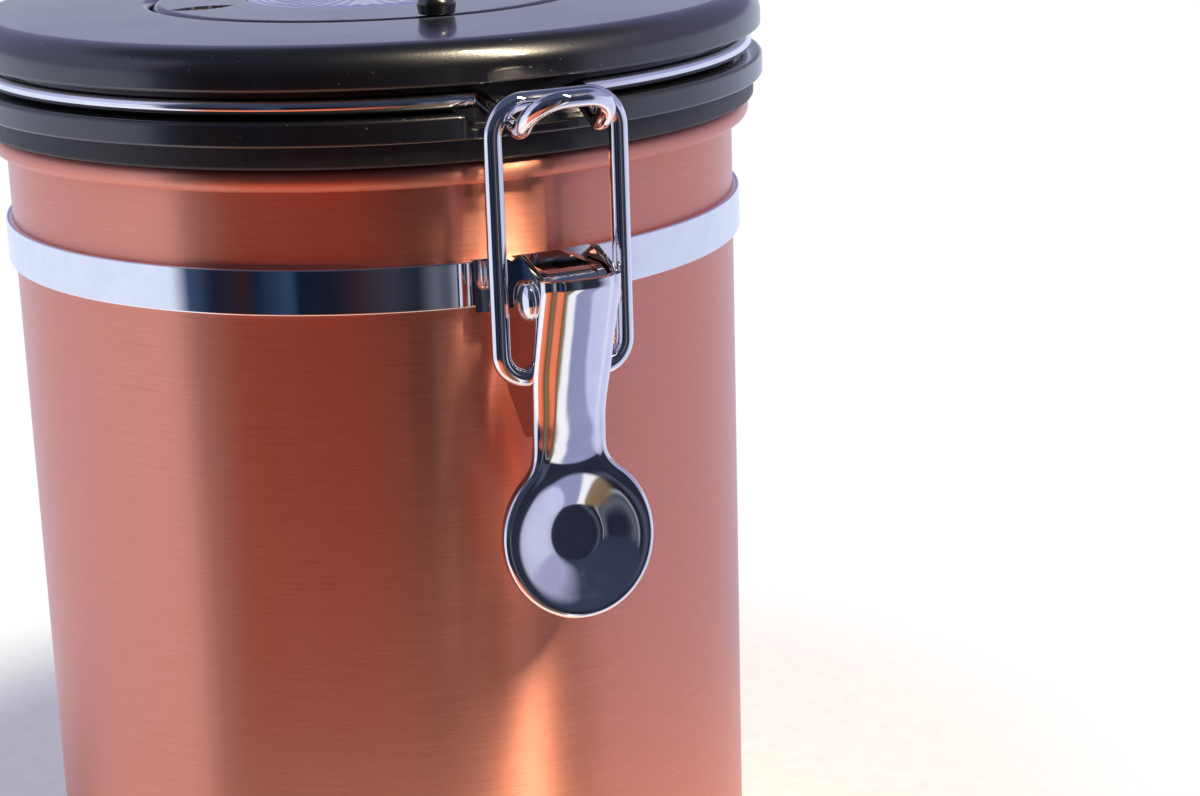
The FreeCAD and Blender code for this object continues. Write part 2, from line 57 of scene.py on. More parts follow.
def place_camera():
    """The camera looks along its pitch at the target, is rolled a little, and then goes
    round the can with everything it holds, so that the latch sits right of the middle."""
    pitch = math.radians(CAMERA_PITCH)
    forward = Vector((0, math.cos(pitch), -math.sin(pitch)))
    right = Vector((1, 0, 0))
    up = right.cross(forward)
    roll = math.radians(CAMERA_ROLL)
    level_right = right * math.cos(roll) + up * math.sin(roll)
    level_up = up * math.cos(roll) - right * math.sin(roll)
    eye = Vector(CAMERA_TARGET) - forward * CAMERA_DISTANCE
    axes = [turn_about_can(a, -LATCH_TURN) for a in (level_right, level_up, -forward)]
    data = bpy.data.cameras.new("camera")
    data.sensor_width = 36.0
    data.lens = 36.0 * FOCAL_SHARE
    data.clip_start = 0.01
    camera = bpy.data.objects.new("camera", data)
    bpy.context.scene.collection.objects.link(camera)
    turn = Matrix(axes).transposed().to_4x4()
    camera.matrix_world = Matrix.Translation(turn_about_can(eye, -LATCH_TURN) * MM) @ turn
    bpy.context.scene.camera = camera


place_camera()


# Material nodes: a small helper that makes a principled material and lets a section add to it.
def new_material(name, color, metallic, roughness):
    """A principled material with its colour, metal share and roughness set."""
    material = bpy.data.materials.new(name)
    material.use_nodes = True
    tree = material.node_tree
    shader = tree.nodes["Principled BSDF"]
    shader.inputs["Base Color"].default_value = (*color, 1)
    shader.inputs["Metallic"].default_value = metallic
    shader.inputs["Roughness"].default_value = roughness
    return material, tree, shader


def node(tree, kind, inputs=None, **settings):
    """A node with its settings; an input given as a socket is linked, a value is set."""
    made = tree.nodes.new(kind)
    for key, value in settings.items():
        setattr(made, key, value)
    for key, value in (inputs or {}).items():
        if isinstance(value, bpy.types.NodeSocket):
            tree.links.new(value, made.inputs[key])
        else:
            made.inputs[key].default_value = value
    return made


def ramp(tree, value, stops):
    """A colour ramp with one stop for each (place, colour)."""
    made = node(tree, "ShaderNodeValToRGB", {"Fac": value})
    elements = made.color_ramp.elements
    while len(elements) < len(stops):
        elements.new(0.5)
    for element, (place, color) in zip(elements, stops):
        element.position = place
        element.color = (*color, 1) if len(color) == 3 else color
    return made


# The floor and the light of a small studio: a pale table, bright sheets to both sides, a darker
# room in front and one warm upright strip lamp to the right of the latch.
TABLE_R = 0.095
TABLE_FADE_R = 0.145
TABLE_GLOW = 0.50
AIM_HEIGHT = 0.10


def studio():
    """The table fades out to bare paper at its edge. The room is a table of colours over the
    direction's turn from the camera, one row each for down, level, up and overhead."""
    floor_mesh = bpy.data.meshes.new("floor")
    reach = TABLE_FADE_R * 1.1
    corners = [(-reach, -reach, 0), (reach, -reach, 0), (reach, reach, 0), (-reach, reach, 0)]
    floor_mesh.from_pydata(corners, [], [(0, 1, 2, 3)])
    floor = bpy.data.objects.new("floor", floor_mesh)
    bpy.context.scene.collection.objects.link(floor)
    material, tree, shader = new_material("pale_table", (0.60, 0.60, 0.62), 0, 0.6)
    place = node(tree, "ShaderNodeTexCoord").outputs["Object"]
    grain = node(tree, "ShaderNodeTexNoise", {"Vector": place, "Scale": 300.0, "Detail": 3.0})
    tint = ramp(tree, grain.outputs["Fac"], [(0.3, (0.58, 0.58, 0.60)), (0.7, (0.62, 0.62, 0.64))])
    tree.links.new(tint.outputs["Color"], shader.inputs["Base Color"])
    tree.links.new(tint.outputs["Color"], shader.inputs["Emission Color"])
    shader.inputs["Emission Strength"].default_value = TABLE_GLOW
    far = node(tree, "ShaderNodeVectorMath", {0: place}, operation="LENGTH").outputs["Value"]
    fade = node(tree, "ShaderNodeMapRange", {"Value": far, "From Min": TABLE_R,
                "From Max": TABLE_FADE_R}, interpolation_type="SMOOTHSTEP")
    clear = node(tree, "ShaderNodeBsdfTransparent")
    mixed = node(tree, "ShaderNodeMixShader", {0: fade.outputs["Result"], 1: shader.outputs[0],
                 2: clear.outputs[0]})
    tree.links.new(mixed.outputs[0], tree.nodes["Material Output"].inputs["Surface"])
    floor_mesh.materials.append(material)

    world = bpy.data.worlds.new("studio")
    bpy.context.scene.world = world
    world.use_nodes = True
    tree = world.node_tree
    tree.nodes.clear()
    direction = node(tree, "ShaderNodeTexCoord").outputs["Generated"]
    turned = node(tree, "ShaderNodeMapping", {"Vector": direction,
                  "Rotation": (0, 0, math.radians(LATCH_TURN))})
    split = node(tree, "ShaderNodeSeparateXYZ", {"Vector": turned.outputs["Vector"]})
    ahead = node(tree, "ShaderNodeMath", {0: split.outputs["Y"], 1: -1.0}, operation="MULTIPLY")
    angle = node(tree, "ShaderNodeMath", {0: split.outputs["X"], 1: ahead.outputs[0]},
                 operation="ARCTAN2")
    share = node(tree, "ShaderNodeMapRange", {"Value": angle.outputs[0], "From Min": -math.pi,
                 "From Max": math.pi})

    def row(stops):
        """The room's colour at one height, as a ramp over the direction's turn."""
        placed = [((degrees + 180) / 360, color) for degrees, color in stops]
        return ramp(tree, share.outputs["Result"], placed).outputs["Color"]

    down = row([(-180, (0.82, 0.85, 1.04)), (-57, (1.18, 1.10, 1.15)), (-48, (1.0, 0.33, 0.17)),
                (-37, (0.98, 0.27, 0.14)), (-5, (0.80, 0.19, 0.095)), (8, (0.44, 0.11, 0.06)),
                (17, (0.18, 0.09, 0.05)), (33, (0.24, 0.16, 0.09)),
                (41, (0.28, 0.20, 0.13)), (43, (1.0, 1.0, 1.05)), (49, (1.0, 1.0, 1.05)),
                (51, (0.30, 0.31, 0.52)), (66, (0.32, 0.33, 0.54)), (69, (0.60, 0.62, 0.90)),
                (180, (0.82, 0.85, 1.04))])
    level = row([(-180, (0.80, 0.87, 1.07)), (-61, (0.80, 0.87, 1.07)), (-55, (0.05, 0.08, 0.16)),
                 (-47, (0.012, 0.016, 0.036)), (-36, (0.030, 0.015, 0.018)),
                 (-33, (0.007, 0.017, 0.043)), (-22, (0.03, 0.06, 0.12)),
                 (-20, (0.005, 0.012, 0.03)), (-9, (0.010, 0.012, 0.020)),
                 (-2, (0.033, 0.020, 0.027)), (8, (0.040, 0.040, 0.058)),
                 (16, (0.015, 0.019, 0.036)), (21, (0.12, 0.13, 0.17)), (25, (0.06, 0.07, 0.10)),
                 (28, (0.35, 0.36, 0.42)), (31, (0.02, 0.02, 0.03)), (36, (0.015, 0.016, 0.025)),
                 (44, (0.08, 0.09, 0.14)), (48, (0.02, 0.022, 0.04)), (62, (0.03, 0.035, 0.06)),
                 (70, (0.50, 0.50, 0.68)), (92, (0.64, 0.69, 0.93)), (180, (0.80, 0.87, 1.07))])
    up = row([(-180, (0.27, 0.27, 0.50)), (-66, (0.60, 0.62, 0.90)), (-54, (0.05, 0.06, 0.10)),
              (0, (0.03, 0.04, 0.07)), (58, (0.04, 0.05, 0.09)), (72, (0.40, 0.40, 0.60)),
              (110, (0.36, 0.36, 0.62)), (180, (0.27, 0.27, 0.50))])

    def between(first, second, low, high):
        """The first colour below low and the second above high, with a soft step between."""
        rise = node(tree, "ShaderNodeMapRange", {"Value": split.outputs["Z"], "From Min": low,
                    "From Max": high}, interpolation_type="SMOOTHSTEP")
        return node(tree, "ShaderNodeMix", {"Factor": rise.outputs["Result"], "A": first,
                    "B": second}, data_type="RGBA").outputs["Result"]

    room = between(down, level, -0.48, -0.34)
    room = between(room, up, 0.08, 0.17)
    top = node(tree, "ShaderNodeRGB")
    top.outputs[0].default_value = (0.07, 0.09, 0.16, 1)
    room = between(room, top.outputs[0], 0.62, 0.85)
    lit = node(tree, "ShaderNodeBackground", {"Color": room, "Strength": 1.0})
    paper = node(tree, "ShaderNodeBackground", {"Color": (1, 1, 1, 1), "Strength": 1.0})
    seen = node(tree, "ShaderNodeLightPath").outputs["Is Camera Ray"]
    mixed = node(tree, "ShaderNodeMixShader", {0: seen, 1: lit.outputs[0], 2: paper.outputs[0]})
    node(tree, "ShaderNodeOutputWorld", {"Surface": mixed.outputs[0]})


def lamp(name, turn, height, distance, width, length, power, color):
    """An upright strip lamp, turn degrees round from the latch, aimed at the lid's front."""
    data = bpy.data.lights.new(name, "AREA")
    data.shape = "RECTANGLE"
    data.size = width
    data.size_y = length
    data.energy = power
    data.color = color
    light = bpy.data.objects.new(name, data)
    bpy.context.scene.collection.objects.link(light)
    aim = Vector((0, 0, AIM_HEIGHT))
    flat = turn_about_can((0, -distance * math.cos(math.radians(height)), 0), turn)
    rise = distance * math.sin(math.radians(height))
    light.location = flat + Vector((0, 0, AIM_HEIGHT + rise))
    light.rotation_euler = (aim - light.location).to_track_quat("-Z", "Y").to_euler()


studio()
bpy.context.scene.view_settings.view_transform = "Standard"
lamp("key_lamp", turn=25.0, height=50, distance=1.6, width=0.055, length=0.9, power=38.0,
     color=(1.0, 0.84, 0.60))


# Surfaces: a profile is a list of (radius, z, rounding) corners; each round stretch becomes an
# arc and each flat keeps a narrow edge loop, so that shading stays flat right up to the arc.
def rounded(corners, closed=True, steps=6, hold=0.06):
    """Corner i with rounding r becomes points on the circle of radius r that touches both of
    its sides; reach along each side is r / tan(half the corner's angle)."""
    places = [np.array(c[:2], float) for c in corners]
    radii = [c[2] if len(c) > 2 else 0.0 for c in corners]
    count = len(places)
    out = []
    for i, (spot, radius) in enumerate(zip(places, radii)):
        if radius == 0 or (not closed and i in (0, count - 1)):
            out.append(spot[None])
            continue
        back = places[i - 1] - spot
        ahead = places[(i + 1) % count] - spot
        back_length, ahead_length = np.linalg.norm(back), np.linalg.norm(ahead)
        back, ahead = back / back_length, ahead / ahead_length
        half = math.acos(np.clip(back @ ahead, -1, 1)) / 2
        reach = radius / math.tan(half)
        middle = (back + ahead) / np.linalg.norm(back + ahead)
        centre = spot + middle * radius / math.sin(half)
        start, end = spot + back * reach, spot + ahead * reach
        sweep = np.linspace(0, math.pi - 2 * half, steps + 1)[:, None]
        first = (start - centre) / radius
        side = (end - centre) / radius - first * math.cos(math.pi - 2 * half)
        side = side / np.linalg.norm(side)
        arc = centre + radius * (first * np.cos(sweep) + side * np.sin(sweep))
        before = [start + back * min(hold, 0.3 * (back_length - reach))]
        after = [end + ahead * min(hold, 0.3 * (ahead_length - reach))]
        out += [np.array(before), arc, np.array(after)]
    return np.concatenate(out)


def mesh_object(name, points, faces, uv=None, material=None):
    """Points are in millimetres, in the frame; faces are rows of point numbers."""
    mesh = bpy.data.meshes.new(name)
    mesh.from_pydata((np.asarray(points) * MM).tolist(), [], [list(f) for f in faces])
    if uv is not None:
        layer = mesh.uv_layers.new(name="UVMap")
        layer.data.foreach_set("uv", np.asarray(uv, float).ravel())
    mesh.shade_smooth()
    if material:
        mesh.materials.append(material)
    made = bpy.data.objects.new(name, mesh)
    bpy.context.scene.collection.objects.link(made)
    return made


def grid_faces(rows, columns, wrap_rows=False, wrap_columns=False):
    """Quads of a grid whose point (i, j) is number i * columns + j."""
    i = np.arange(rows if wrap_rows else rows - 1)[:, None]
    j = np.arange(columns if wrap_columns else columns - 1)[None]
    here = i * columns + j
    right = i * columns + (j + 1) % columns
    below = ((i + 1) % rows) * columns + j
    across = ((i + 1) % rows) * columns + (j + 1) % columns
    return np.stack([here, right, across, below], -1).reshape(-1, 4)


def lathe(name, profile, material, around=360, closed=True, arc=None):
    """Point (i, j) is profile point j turned by angle i about the can's axis. The profile runs
    anticlockwise in the (radius, z) plane, so that faces point out. u runs round from behind
    the can and v up the profile, both in metres."""
    profile = np.asarray(profile, float)
    count = len(profile)
    turns = np.arange(around) / around * 2 * math.pi
    if arc is not None:
        turns = np.linspace(arc[0], arc[1], around)
    radius, height = profile[:, 0], profile[:, 1]
    x = np.sin(turns)[:, None] * radius
    y = np.cos(turns)[:, None] * radius
    points = np.stack([x, y, np.broadcast_to(height, x.shape)], -1).reshape(-1, 3)
    faces = grid_faces(around, count, arc is None, closed)
    column = faces % count
    row = faces // count
    last_row = (row[:, :1] == around - 1) & (row == 0)
    length = np.concatenate([[0], np.cumsum(np.linalg.norm(np.diff(profile, axis=0), axis=1))])
    step = (turns[1] - turns[0])
    u = (row + np.where(last_row, around, 0)) * step * radius.max() * MM
    v = length[column] * MM
    made = mesh_object(name, points, faces, np.stack([u, v], -1), material)
    clean(made)
    return made


def clean(piece, gap=1e-7):
    """Merge points that lie on each other, drop what has no area, and face everything out."""
    import bmesh
    work = bmesh.new()
    work.from_mesh(piece.data)
    bmesh.ops.remove_doubles(work, verts=work.verts, dist=gap)
    bmesh.ops.dissolve_degenerate(work, edges=work.edges, dist=gap)
    bmesh.ops.recalc_face_normals(work, faces=work.faces)
    work.to_mesh(piece.data)
    work.free()
    piece.data.shade_smooth()


def stand_for(piece, cad_node, body):
    """The piece moves with its body and hides its CAD node."""
    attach(piece, body)
    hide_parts(cad_node)


# The can is drawn from stainless sheet, coloured copper and brushed round and round, with its
# rim rolled outwards and its foot turned in.
CAN_R = 60.0
CAN_WALL = 0.6
RIM_TOP = 130.9
CURL_R = 1.7


def brushed_copper():
    """Fine scratches run round the can: noise that is long in u and very short in v."""
    material, tree, shader = new_material("brushed_copper", (0.80, 0.32, 0.20), 1.0, 0.4)
    uv = node(tree, "ShaderNodeUVMap", uv_map="UVMap").outputs["UV"]
    fine = node(tree, "ShaderNodeMapping", {"Vector": uv, "Scale": (200, 9000, 1)})
    scratch = node(tree, "ShaderNodeTexNoise", {"Vector": fine.outputs[0], "Scale": 1.0,
                   "Detail": 3.0, "Roughness": 0.6})
    broad = node(tree, "ShaderNodeMapping", {"Vector": uv, "Scale": (40, 4200, 1)})
    band = node(tree, "ShaderNodeTexNoise", {"Vector": broad.outputs[0], "Scale": 1.0,
                "Detail": 4.0, "Roughness": 0.55})
    both = node(tree, "ShaderNodeMix", {"Factor": 0.45, "A": scratch.outputs["Fac"],
                "B": band.outputs["Fac"]}, data_type="FLOAT")
    tint = ramp(tree, both.outputs["Result"], [(0.30, (0.70, 0.255, 0.175)),
                (0.50, (0.81, 0.315, 0.225)), (0.70, (0.90, 0.38, 0.28))])
    tree.links.new(tint.outputs["Color"], shader.inputs["Base Color"])
    rough = node(tree, "ShaderNodeMapRange", {"Value": both.outputs["Result"], "From Min": 0.3,
                 "From Max": 0.7, "To Min": 0.30, "To Max": 0.40})
    tree.links.new(rough.outputs["Result"], shader.inputs["Roughness"])
    shader.inputs["Anisotropic"].default_value = 1.0
    shader.inputs["Anisotropic Rotation"].default_value = 0.25
    tangent = node(tree, "ShaderNodeTangent", direction_type="UV_MAP", uv_map="UVMap")
    tree.links.new(tangent.outputs[0], shader.inputs["Tangent"])
    bump = node(tree, "ShaderNodeBump", {"Height": both.outputs["Result"], "Strength": 0.3,
                "Distance": 0.00005})
    tree.links.new(bump.outputs[0], shader.inputs["Normal"])
    return material


def make_can():
    """One closed outline of foot, wall, rolled rim and inner wall, turned about the axis."""
    inside = CAN_R - CAN_WALL
    curl_in = CURL_R - CAN_WALL
    centre = np.array([CAN_R + curl_in, RIM_TOP - CURL_R])

    def curl(radius, start, end, steps=28):
        """The rim's roll: points on a circle about its own centre, from start to end."""
        angle = np.radians(np.linspace(start, end, steps))
        return centre + radius * np.stack([np.cos(angle), np.sin(angle)], -1)

    foot = rounded([(54.0, 0.6), (54.0, 0), (CAN_R, 0, 3.0), (CAN_R, 20)], closed=False,
                   steps=10)[:-1]
    wall = np.stack([np.full(40, CAN_R), np.linspace(6, RIM_TOP - CURL_R - 1, 40)], -1)
    inner = rounded([(inside, 20), (inside, 0.6, 2.4), (54.0, 0.6)], closed=False, steps=10)[1:-1]
    profile = np.concatenate([foot, wall, curl(curl_in, 180, -100), curl(CURL_R, -100, 180),
                              inner])
    can = lathe("can", profile, brushed_copper(), around=512)
    stand_for(can, "body_shell", "canister")


make_can()


# The clamp band is a strip of mirror-plated steel pulled tight round the can's neck. Its two
# ends stop a little apart behind, where the hinge bracket covers them.
BAND_LOW, BAND_TOP = 109.0, 116.0
BAND_R = 61.1
BAND_INNER_R = 60.05
BAND_HALF_GAP = 2.0


def bright_steel():
    """Mirror plating with a trace of polishing haze and a faint waviness."""
    material, tree, shader = new_material("bright_steel", (0.86, 0.86, 0.88), 1.0, 0.045)
    place = node(tree, "ShaderNodeTexCoord").outputs["Object"]
    haze = node(tree, "ShaderNodeTexNoise", {"Vector": place, "Scale": 260.0, "Detail": 5.0})
    rough = node(tree, "ShaderNodeMapRange", {"Value": haze.outputs["Fac"], "From Min": 0.4,
                 "From Max": 0.8, "To Min": 0.03, "To Max": 0.10})
    tree.links.new(rough.outputs["Result"], shader.inputs["Roughness"])
    tint = ramp(tree, haze.outputs["Fac"], [(0.35, (0.84, 0.84, 0.87)), (0.7, (0.90, 0.90, 0.91))])
    tree.links.new(tint.outputs["Color"], shader.inputs["Base Color"])
    wave = node(tree, "ShaderNodeTexNoise", {"Vector": place, "Scale": 90.0, "Detail": 2.0})
    bump = node(tree, "ShaderNodeBump", {"Height": wave.outputs["Fac"], "Strength": 0.05,
                "Distance": 0.0002})
    tree.links.new(bump.outputs[0], shader.inputs["Normal"])
    return material


steel = bright_steel()


def make_band():
    """A flat strip's outline turned about the axis, all but a small gap behind."""
    profile = rounded([(BAND_INNER_R, BAND_LOW), (BAND_R, BAND_LOW, 0.3),
                       (BAND_R, BAND_TOP, 0.3), (BAND_INNER_R, BAND_TOP)])
    gap = BAND_HALF_GAP / BAND_R
    band = lathe("band", profile, steel, around=480, arc=(gap, 2 * math.pi - gap))
    stand_for(band, "clamp_band", "canister")


make_band()


# The lever is one pressed piece of plated steel: a channel round the bracket's ears, a waist,
# and a round thumb piece with a dished middle. A rivet with domed heads carries it.
LEVER_HALF_W = 6.35
WAIST_HALF_W = 5.85
DISC_CENTRE = (75.2, 75.8)
DISC_TILT = math.radians(10.0)
DISC_R = 12.2
DISH_DEPTH = 2.0
DISH_R = (4.3, 9.7)
LIP_DEPTH = 1.8
SHEET = 0.9
LEVER_TOP_Z = 115.7
WAIST_Z = 91.5
NECK_BEND_R = 1.7
DISC_BEND_R = 0.85
JOIN_DEG = 50.0      # where the neck's curve meets the disc, up from level
CURVE_PULL = 9.0     # how strongly the curve holds its two end directions
SPINE_TOP = 84.0     # where the disc's middle line of points ends in the neck
FACE_LINE = ((116.5, 80.2), (108.0, 77.6), (100.0, 75.35), (94.0, 74.1), (90.0, 73.6),
             (87.5, 73.1), (84.0, 71.4), (60.0, 55.0))
BACK_LINE = ((118.5, 70.4), (115.6, 65.3), (112.0, 64.4), (97.0, 64.3), (90.8, 68.9),
             (88.6, 70.6))


def smooth_line(knots, at):
    """Cubic through (position, value) knots with slopes from their neighbours (Catmull-Rom)."""
    spot = np.array([k[0] for k in knots], float)
    value = np.array([k[1] for k in knots], float)
    if spot[0] > spot[-1]:
        spot, value = spot[::-1], value[::-1]
    slope = np.gradient(value, spot)
    slope[0] = (value[1] - value[0]) / (spot[1] - spot[0])
    slope[-1] = (value[-1] - value[-2]) / (spot[-1] - spot[-2])
    at = np.clip(at, spot[0], spot[-1])
    cell = np.clip(np.searchsorted(spot, at) - 1, 0, len(spot) - 2)
    width = spot[cell + 1] - spot[cell]
    t = (at - spot[cell]) / width
    return ((2 * t ** 3 - 3 * t ** 2 + 1) * value[cell] + (t ** 3 - 2 * t ** 2 + t) * width
            * slope[cell] + (3 * t ** 2 - 2 * t ** 3) * value[cell + 1]
            + (t ** 3 - t ** 2) * width * slope[cell + 1])


def smoothstep(t):
    """Three t squared less two t cubed, held at 0 before t = 0 and at 1 after t = 1."""
    t = np.clip(t, 0, 1)
    return t * t * (3 - 2 * t)


def make_lever():
    """The outline runs down one side: a straight, a curve into the disc, then the disc's arc.
    Across the grid a point climbs the turned edge, goes round the bend, and crosses the face
    to the middle line. The face stands at FACE_LINE and sinks into the dish near the disc."""
    waist_z = WAIST_Z
    straight_z = np.linspace(LEVER_TOP_Z, waist_z, 90)
    narrow = smoothstep((103.0 - straight_z) / 10.0)
    straight = np.stack([LEVER_HALF_W + (WAIST_HALF_W - LEVER_HALF_W) * narrow, straight_z], -1)
    start = straight[-1]
    angle = math.radians(JOIN_DEG)
    squash = math.cos(DISC_TILT)
    disc_rho, disc_z = DISC_CENTRE
    end = np.array([DISC_R * math.cos(angle), disc_z + DISC_R * math.sin(angle) * squash])
    t = np.linspace(0, 1, 30)[1:-1, None]
    leave = np.array([0, -1.0]) * CURVE_PULL
    arrive = np.array([math.sin(angle), -math.cos(angle)]) * CURVE_PULL
    curve = ((2 * t ** 3 - 3 * t ** 2 + 1) * start + (t ** 3 - 2 * t ** 2 + t) * leave
             + (3 * t ** 2 - 2 * t ** 3) * end + (t ** 3 - t ** 2) * arrive)
    swing = np.radians(np.linspace(JOIN_DEG, -90, 110))
    disc = np.stack([DISC_R * np.cos(swing), disc_z + DISC_R * np.sin(swing) * squash], -1)
    line = np.concatenate([straight, curve, disc])
    heading = np.gradient(line, axis=0)
    heading /= np.linalg.norm(heading, axis=1)[:, None]
    out = np.stack([-heading[:, 1], heading[:, 0]], -1)

    n_straight, n_curve = len(straight), len(curve)
    along = np.arange(len(line))
    on_disc = smoothstep((along - n_straight * 0.80) / (n_curve + n_straight * 0.20))
    bend_r = NECK_BEND_R + (DISC_BEND_R - NECK_BEND_R) * on_disc
    knots = np.array(BACK_LINE)
    length = np.concatenate([[0], np.cumsum(np.linalg.norm(np.diff(knots, axis=0), axis=1))])
    at = np.linspace(0, 1, n_straight) * length[-1]
    back_z = np.concatenate([np.interp(at, length, knots[:, 0]), line[n_straight:, 1]])
    back_rho = np.interp(at, length, knots[:, 1])

    spine_z = line[:, 1].copy()
    in_curve = slice(n_straight, n_straight + n_curve)
    spine_z[in_curve] = np.linspace(waist_z, SPINE_TOP, n_curve)
    swing_share = np.clip(swing / angle, 0, 1)
    spine_z[n_straight + n_curve:] = disc_z + (SPINE_TOP - disc_z) * swing_share

    def smooth_abs(x, soft):
        """The size of x with its corner at zero rounded off over a width of soft."""
        return np.sqrt(x * x + soft * soft)

    def face_rho(s, z):
        """How far out the front face stands: the greater of the crowned strip and the tilted
        disc, whose dish sinks by a ramp between its two radii; the corners are rounded off."""
        rise = 0.7 + 0.3 * smoothstep((z - 90.0) / 14.0)
        crown = rise * (1 - (s / LEVER_HALF_W) ** 2)
        roll = 0.45 * smoothstep((z - 113.6) / 2.1) ** 2
        strip = smooth_line(FACE_LINE, z) + crown - roll - 0.5
        plane = disc_rho - (z - disc_z) * math.tan(DISC_TILT)
        out_from = np.hypot(s, (z - disc_z) / squash)
        share = (DISH_R[1] - out_from) / (DISH_R[1] - DISH_R[0])
        sunk = (smooth_abs(share, 0.22) - smooth_abs(share - 1, 0.12) + 1) / 2
        plane = plane - DISH_DEPTH * sunk
        return (strip + plane + smooth_abs(strip - plane, 0.45) - 0.2) / 2

    rows = []
    edge_rho = face_rho(line[:, 0], line[:, 1])
    low = edge_rho - bend_r
    lip = edge_rho - np.maximum(LIP_DEPTH, bend_r + 0.3)
    blend = smoothstep((along - n_straight * 0.9) / (n_straight * 0.1))
    deep = np.concatenate([back_rho, np.zeros(len(line) - n_straight)])
    deep = np.where(along < n_straight, deep * (1 - blend) + lip * blend, lip)
    for share in np.linspace(1, 0, 14):
        z = line[:, 1] + (back_z - line[:, 1]) * share
        z = np.where(along < n_straight, z * (1 - blend) + line[:, 1] * blend, line[:, 1])
        rows.append(np.stack([line[:, 0], low + (deep - low) * share, z], -1))
    for lift in np.radians(np.linspace(0, 90, 9))[1:]:
        inset = bend_r * (1 - math.cos(lift))
        spot = line - out * inset[:, None]
        risen = edge_rho - bend_r * (1 - math.sin(lift))
        rows.append(np.stack([spot[:, 0], risen, spot[:, 1]], -1))
    inner = line - out * bend_r[:, None]
    start_gap = edge_rho - face_rho(inner[:, 0], inner[:, 1])
    for share in np.linspace(0, 1, 44)[1:]:
        spot = inner + (np.stack([np.zeros(len(line)), spine_z], -1) - inner) * share
        rho = face_rho(spot[:, 0], spot[:, 1])
        settle = smoothstep(share / 0.25)
        rows.append(np.stack([spot[:, 0], rho + start_gap * (1 - settle), spot[:, 1]], -1))
    half = np.stack(rows)
    half[-1, :, 0] = 0
    half[:, -1, 0] = 0
    points = np.stack([half[..., 0], -half[..., 1], half[..., 2]], -1)
    count = points.shape[0] * points.shape[1]
    right = points.reshape(-1, 3)
    left = right * np.array([-1, 1, 1])
    faces = grid_faces(points.shape[0], points.shape[1])
    lever = mesh_object("lever", np.concatenate([right, left]),
                        np.concatenate([faces, (faces + count)[:, ::-1]]), None, steel)
    clean(lever, 2e-6)
    face_front(lever)
    thicken = lever.modifiers.new("sheet", "SOLIDIFY")
    thicken.thickness = SHEET * MM
    thicken.offset = -1
    thicken.use_even_offset = False
    soften = lever.modifiers.new("edge", "BEVEL")
    soften.width = 0.18 * MM
    soften.segments = 2
    soften.limit_method = "ANGLE"
    soften.angle_limit = math.radians(50)
    stand_for(lever, "latch_lever", "lever")


PIVOT = (72.8, 112.2)
RIVET_R = 1.7
HEAD_R = 3.05
HEAD_START = 6.4
HEAD_SIDE = 0.35
DOME_H = 1.25
SLEEVE_R = 3.9
SLEEVE_HALF = 3.85


def make_rivet():
    """Domed heads outside the lever and a sleeve between the bracket's ears. The dome is a
    quarter of an ellipse, turned about the rivet's line."""
    edge = HEAD_START + HEAD_SIDE
    rise = np.radians(np.arange(8, 90, 7))
    dome = np.stack([HEAD_R * np.cos(rise), edge + DOME_H * np.sin(rise)], -1)
    sleeve = rounded([(SLEEVE_R, 0.0), (SLEEVE_R, SLEEVE_HALF, 0.35), (RIVET_R, SLEEVE_HALF)],
                     closed=False)
    head = [(RIVET_R, HEAD_START), (HEAD_R, HEAD_START), (HEAD_R, edge)]
    up = np.concatenate([sleeve, head, dome, [(0.0, edge + DOME_H)]])
    profile = np.concatenate([(up * [1, -1])[::-1][:-1], up])
    rivet = lathe("rivet", profile, steel, around=96, closed=False)
    turn = Matrix.Rotation(math.radians(90), 4, "Y")
    rivet.data.transform(Matrix.Translation(Vector((0, -PIVOT[0], PIVOT[1])) * MM) @ turn)
    stand_for(rivet, "pivot_rivet", "canister")


def face_front(piece):
    """Turn an open sheet over if its largest flat looks towards the can."""
    total = sum((f.normal.y * f.area for f in piece.data.polygons))
    if total > 0:
        piece.data.flip_normals()


make_lever()
make_rivet()


# The loop is bent from round spring wire and plated like the lever; its two ends turn in and
# sit in holes in the lever's sides.
def path_through(corners, bends, spacing=0.5):
    """Straight runs through the corners, each bend an arc that touches both its runs."""
    corners = [np.array(c, float) for c in corners]
    out = [corners[0]]
    for i in range(1, len(corners) - 1):
        spot, radius = corners[i], bends[i - 1]
        back = corners[i - 1] - spot
        ahead = corners[i + 1] - spot
        back, ahead = back / np.linalg.norm(back), ahead / np.linalg.norm(ahead)
        half = math.acos(np.clip(back @ ahead, -1, 1)) / 2
        reach = radius / math.tan(half)
        centre = spot + (back + ahead) / np.linalg.norm(back + ahead) * radius / math.sin(half)
        start, end = spot + back * reach, spot + ahead * reach
        turn = math.pi - 2 * half
        steps = max(4, int(radius * turn / spacing * 1.6))
        sweep = np.linspace(0, turn, steps + 1)[:, None]
        first = (start - centre) / radius
        side = (end - centre) / radius - first * math.cos(turn)
        side /= np.linalg.norm(side)
        out += list(centre + radius * (first * np.cos(sweep) + side * np.sin(sweep)))
    out.append(corners[-1])
    return np.array(out)


def even_path(points, spacing):
    """The same line with its points evenly spaced."""
    length = np.concatenate([[0], np.cumsum(np.linalg.norm(np.diff(points, axis=0), axis=1))])
    keep = np.concatenate([[True], np.diff(length) > 1e-9])
    points, length = points[keep], length[keep]
    at = np.linspace(0, length[-1], int(length[-1] / spacing) + 2)
    return np.stack([np.interp(at, length, points[:, k]) for k in range(3)], -1)


CAP_STEPS = 6
CAP_POINT = 1e-3


